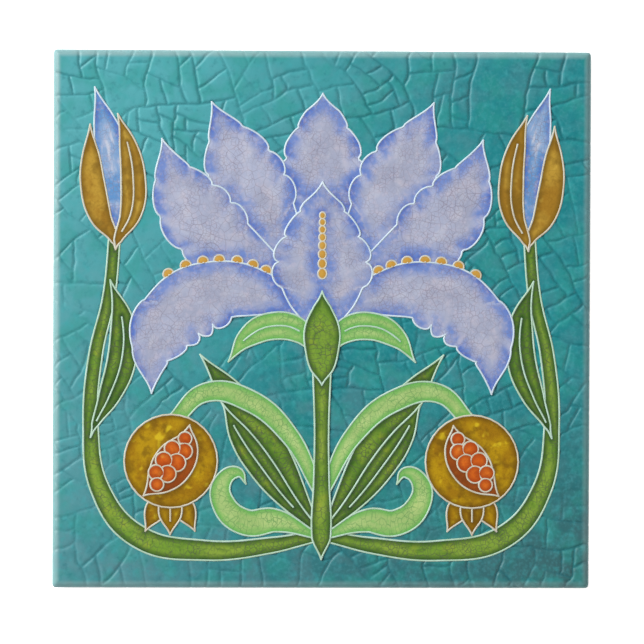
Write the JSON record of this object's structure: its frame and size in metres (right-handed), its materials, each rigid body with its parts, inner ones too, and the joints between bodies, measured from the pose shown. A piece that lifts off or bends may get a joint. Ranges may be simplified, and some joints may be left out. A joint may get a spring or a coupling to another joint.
{
  "type": "art nouveau tile",
  "caption": "Square relief-moulded ceramic wall tile with a cushion edge, a flower and fruit panel in low relief on its face and keying grooves in its back.",
  "frame": {"origin": "centre of the tile's back face, on the plane that it lies and beds on", "axes": "+Z out of the decorated face, +Y towards the top of the picture, +X towards its right-hand side"},
  "size_m": [0.1524, 0.1524, 0.0095],
  "materials": {
    "glazed_clay": "gloss crackled turquoise majolica glaze over buff fired clay",
    "petal_glaze": "gloss lavender glaze with deep blue rims and fine crazing",
    "leaf_glaze": "gloss leaf green glaze, darker at its edges, with fine crazing",
    "lime_glaze": "gloss pale lime glaze with fine crazing",
    "ochre_glaze": "gloss ochre glaze, mottled from brown to yellow",
    "orange_glaze": "gloss orange glaze",
    "line_slip": "raised pale slip outline under clear glaze"
  },
  "bodies": {
    "root": {"tile": "glazed_clay"}
  },
  "joints": []
}
